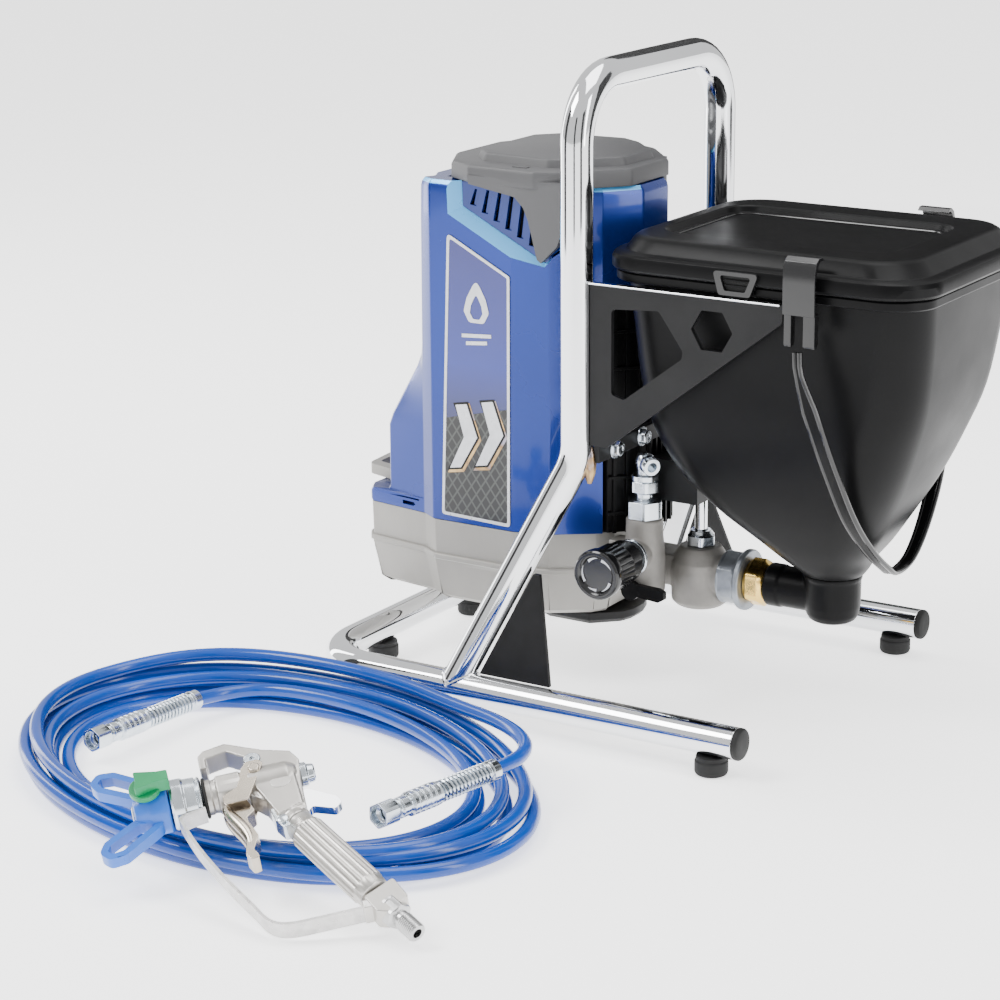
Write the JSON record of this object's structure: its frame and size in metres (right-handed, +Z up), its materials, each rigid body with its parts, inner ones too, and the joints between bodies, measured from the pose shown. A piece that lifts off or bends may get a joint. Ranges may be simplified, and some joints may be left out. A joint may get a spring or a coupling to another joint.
{
  "type": "airless paint sprayer",
  "caption": "Hopper-fed airless paint sprayer on a bent chrome tube stand, with electric drive, piston pump, coiled fluid hose and metal spray gun.",
  "frame": {"origin": "on the floor at the centre of the footprint of the sprayer and its gun, without the hose", "axes": "+X along the stand's legs from their closed end to their open ends under the hopper, +Y from the leg beside the gun to the other leg, +Z up"},
  "size_m": [0.6505, 0.7714, 0.5226],
  "materials": {
    "chrome": "polished chrome plate",
    "black_steel": "fine-textured black powder coat",
    "black_plastic": "moulded black, satin to gloss",
    "rubber": "matte black rubber",
    "blue_plastic": "metallic blue moulding",
    "grey_plastic": "grey moulding with a fine texture",
    "cast_alloy": "as cast, blasted",
    "zinc_plate": "bright zinc plate",
    "brass": "machined brass",
    "steel": "plain steel",
    "hose_blue": "glossy blue hose cover",
    "guard_blue": "light blue moulding",
    "tip_green": "green moulding"
  },
  "bodies": {
    "stand": {"base_tube": "chrome", "handle_tube": "chrome", "gusset_near": "black_steel", "gusset_far": "black_steel", "hopper_bracket_near": "black_steel", "hopper_bracket_far": "black_steel", "mount_bar": "black_steel", "base_plate": "black_steel", "crank_housing": "black_steel", "rear_housing": "black_plastic", "hopper_elbow": "black_plastic", "hopper": "black_plastic", "latch_near": "black_plastic", "latch_far": "black_plastic", "foot_near_open": "rubber", "foot_near_closed": "rubber", "foot_far_open": "rubber", "foot_far_closed": "rubber", "leg_cap_near": "rubber", "leg_cap_far": "rubber", "cord_gland": "rubber", "shroud": "blue_plastic", "vent_grille": "blue_plastic", "top_cap": "grey_plastic", "drive_housing": "cast_alloy", "outlet_manifold": "cast_alloy", "pump_cylinder": "cast_alloy", "outlet_fitting": "zinc_plate", "packing_nut": "zinc_plate", "hose_fitting_a": "zinc_plate", "hose_fitting_b": "zinc_plate", "brass_adapter": "brass", "motor_case": "steel", "strainer": "steel", "hose_coil": "hose_blue", "hose_tube_a": "hose_blue", "hose_tube_b": "hose_blue"},
    "pressure_knob": {"pressure_knob": "black_plastic"},
    "prime_lever": {"prime_lever": "black_plastic"},
    "outlet_swivel": {"outlet_swivel": "zinc_plate"},
    "union_nut": {"union_nut": "zinc_plate"},
    "lid": {"lid": "black_plastic"},
    "bail": {"bail": "black_plastic"},
    "power_switch": {"power_switch": "black_plastic"},
    "motor": {"motor_rotor": "steel", "cooling_fan": "black_plastic"},
    "gear": {"drive_gear": "steel", "crankshaft": "steel"},
    "piston_rod": {"piston_rod": "chrome"},
    "spray_gun": {"gun_body": "cast_alloy", "gun_front": "cast_alloy", "gun_grip": "cast_alloy", "trigger_guard": "steel"},
    "gun_inlet": {"gun_inlet": "steel"},
    "gun_trigger": {"gun_trigger": "chrome"},
    "guard_nut": {"guard_nut": "zinc_plate"},
    "tip_guard": {"tip_guard": "guard_blue"},
    "spray_tip": {"spray_tip": "tip_green"},
    "hose_nut_a": {"hose_nut_a": "zinc_plate"},
    "hose_nut_b": {"hose_nut_b": "zinc_plate"}
  },
  "joints": [
    {"name": "pressure_control", "type": "hinge", "parent": "stand", "child": "pressure_knob", "pos_m": [-0.003, 0.0876, 0.1235], "axis": [0, 1, 0], "range_deg": [0, 300]},
    {"name": "prime_valve", "type": "hinge", "parent": "stand", "child": "prime_lever", "pos_m": [-0.003, 0.1491, 0.096], "axis": [0, 1, 0], "range_deg": [0, 90]},
    {"name": "outlet_turn", "type": "hinge", "parent": "stand", "child": "outlet_swivel", "pos_m": [-0.003, 0.1666, 0.1876], "axis": [0, 0, 1], "continuous": true},
    {"name": "union_nut_turn", "type": "hinge", "parent": "stand", "child": "union_nut", "pos_m": [0.0516, 0.2066, 0.1], "axis": [1, 0, 0], "continuous": true},
    {"name": "lid_lift", "type": "slide", "parent": "stand", "child": "lid", "axis": [0, 0, 1], "range_m": [0, 0.15]},
    {"name": "bail_swing", "type": "hinge", "parent": "stand", "child": "bail", "pos_m": [0.17, 0.2066, 0.324], "axis": [0, -1, 0], "range_deg": [0, 78]},
    {"name": "switch_rock", "type": "hinge", "parent": "stand", "child": "power_switch", "pos_m": [-0.144, 0.2864, 0.29], "axis": [-1, 0, 0], "range_deg": [0, 14]},
    {"name": "motor_spin", "type": "hinge", "parent": "stand", "child": "motor", "pos_m": [-0.172, 0.2066, 0.236], "axis": [1, 0, 0], "continuous": true},
    {"name": "gear_spin", "type": "hinge", "parent": "stand", "child": "gear", "pos_m": [-0.058, 0.2066, 0.18], "axis": [1, 0, 0], "continuous": true},
    {"name": "piston_stroke", "type": "slide", "parent": "stand", "child": "piston_rod", "axis": [0, 0, 1], "range_m": [-0.008, 0.008]},
    {"name": "gun_lift", "type": "slide", "parent": "stand", "child": "spray_gun", "axis": [0, 0, 1], "range_m": [0, 0.3]},
    {"name": "gun_swivel_turn", "type": "hinge", "parent": "spray_gun", "child": "gun_inlet", "pos_m": [0.06796, -0.32346, 0.02429], "axis": [0.9162, -0.2916, -0.2748], "continuous": true},
    {"name": "trigger_pull", "type": "hinge", "parent": "spray_gun", "child": "gun_trigger", "pos_m": [-0.05583, -0.28529, 0.06088], "axis": [0.1447, -0.3988, 0.9056], "range_deg": [0, 15], "stiffness_Nm_per_rad": 0.6, "springref_deg": -5.73},
    {"name": "guard_nut_turn", "type": "hinge", "parent": "spray_gun", "child": "guard_nut", "pos_m": [-0.08549, -0.30878, 0.05528], "axis": [-0.7422, -0.6489, -0.1671], "continuous": true},
    {"name": "tip_guard_turn", "type": "hinge", "parent": "spray_gun", "child": "tip_guard", "pos_m": [-0.10286, -0.32397, 0.05137], "axis": [-0.7422, -0.6489, -0.1671], "range_deg": [-20, 20]},
    {"name": "spray_tip_turn", "type": "hinge", "parent": "tip_guard", "child": "spray_tip", "pos_m": [-0.11355, -0.33331, 0.04896], "axis": [0.1447, -0.3988, 0.9056], "range_deg": [0, 180]},
    {"name": "hose_nut_a_turn", "type": "hinge", "parent": "stand", "child": "hose_nut_a", "pos_m": [-0.288, -0.1894, 0.02], "axis": [0.0665, 0.9976, -0.0166], "continuous": true},
    {"name": "hose_nut_b_turn", "type": "hinge", "parent": "stand", "child": "hose_nut_b", "pos_m": [0.02, -0.2494, 0.0438], "axis": [0.1833, 0.9831, 0], "continuous": true}
  ],
  "couplings": [
    {"joint": "gear_spin", "follows": "motor_spin", "ratio": -0.22418}
  ]
}
